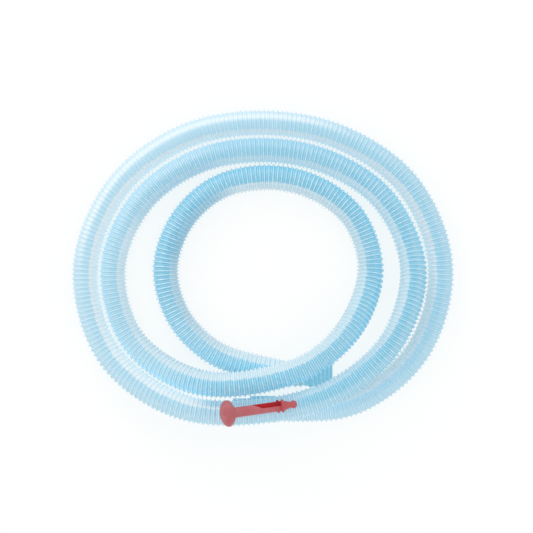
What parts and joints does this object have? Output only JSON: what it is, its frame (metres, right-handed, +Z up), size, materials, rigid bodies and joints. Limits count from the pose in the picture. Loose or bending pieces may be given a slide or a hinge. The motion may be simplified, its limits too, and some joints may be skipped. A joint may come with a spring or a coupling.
{
  "type": "ventilator breathing circuit",
  "caption": "Single-limb breathing circuit: a corrugated 22 mm hose coiled flat, with end cuffs, a patient connector and a red test plug lying on the coil.",
  "frame": {"origin": "middle of the coil's outline, on the surface that the hose lies on", "axes": "+Z up from the surface, +X along the coil's longest width, with both hose ends on the -Y side"},
  "size_m": [0.3807, 0.3153, 0.0806],
  "materials": {
    "hose_plastic": "translucent light blue, satin",
    "cuff_rubber": "soft light blue, matt",
    "connector_plastic": "clear pale blue, glossy",
    "plug_plastic": "soft red, satin"
  },
  "bodies": {
    "root": {"breathing_hose": "hose_plastic", "patient_cuff": "cuff_rubber", "machine_cuff": "cuff_rubber", "patient_connector": "connector_plastic", "test_plug": "plug_plastic"}
  },
  "joints": []
}
